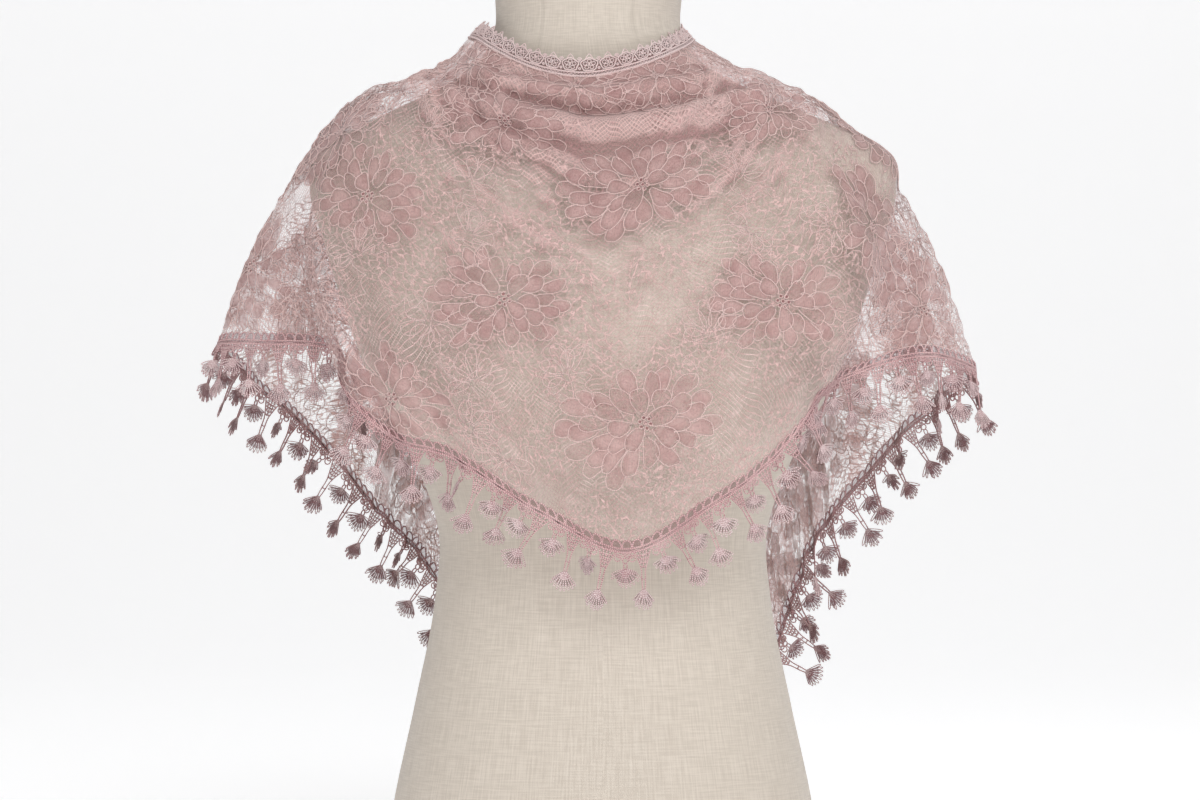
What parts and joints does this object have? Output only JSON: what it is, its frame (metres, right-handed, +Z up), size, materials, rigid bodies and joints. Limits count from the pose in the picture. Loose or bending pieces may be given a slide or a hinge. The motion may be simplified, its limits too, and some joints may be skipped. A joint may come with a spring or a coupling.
{
  "type": "lace mantilla shawl on a limbless dress form",
  "caption": "Triangle lace mantilla with a looped pendant fringe, worn with its point at the front and its ends over the shoulders, on a linen-covered limbless dress form.",
  "frame": {"origin": "middle of the form's flat underside, on the floor", "axes": "+Z up along the form, -Y the way the form faces, +X to the right as seen from the front"},
  "size_m": [0.5503, 0.2564, 0.676],
  "materials": {
    "linen": "matte woven linen",
    "lace": "matte floral lace on net",
    "braid": "soft sheen guipure cord",
    "picot_trim": "soft sheen picot braid"
  },
  "bodies": {
    "root": {"form_torso": "linen", "lace_front": "lace", "lace_wing_left": "lace", "lace_wing_right": "lace", "lace_tail_left": "lace", "lace_tail_right": "lace", "fringe_front_left": "braid", "fringe_front_right": "braid", "fringe_back_left": "braid", "fringe_back_right": "braid", "trim_neck": "picot_trim", "trim_back_left": "picot_trim", "trim_back_right": "picot_trim"}
  },
  "joints": []
}
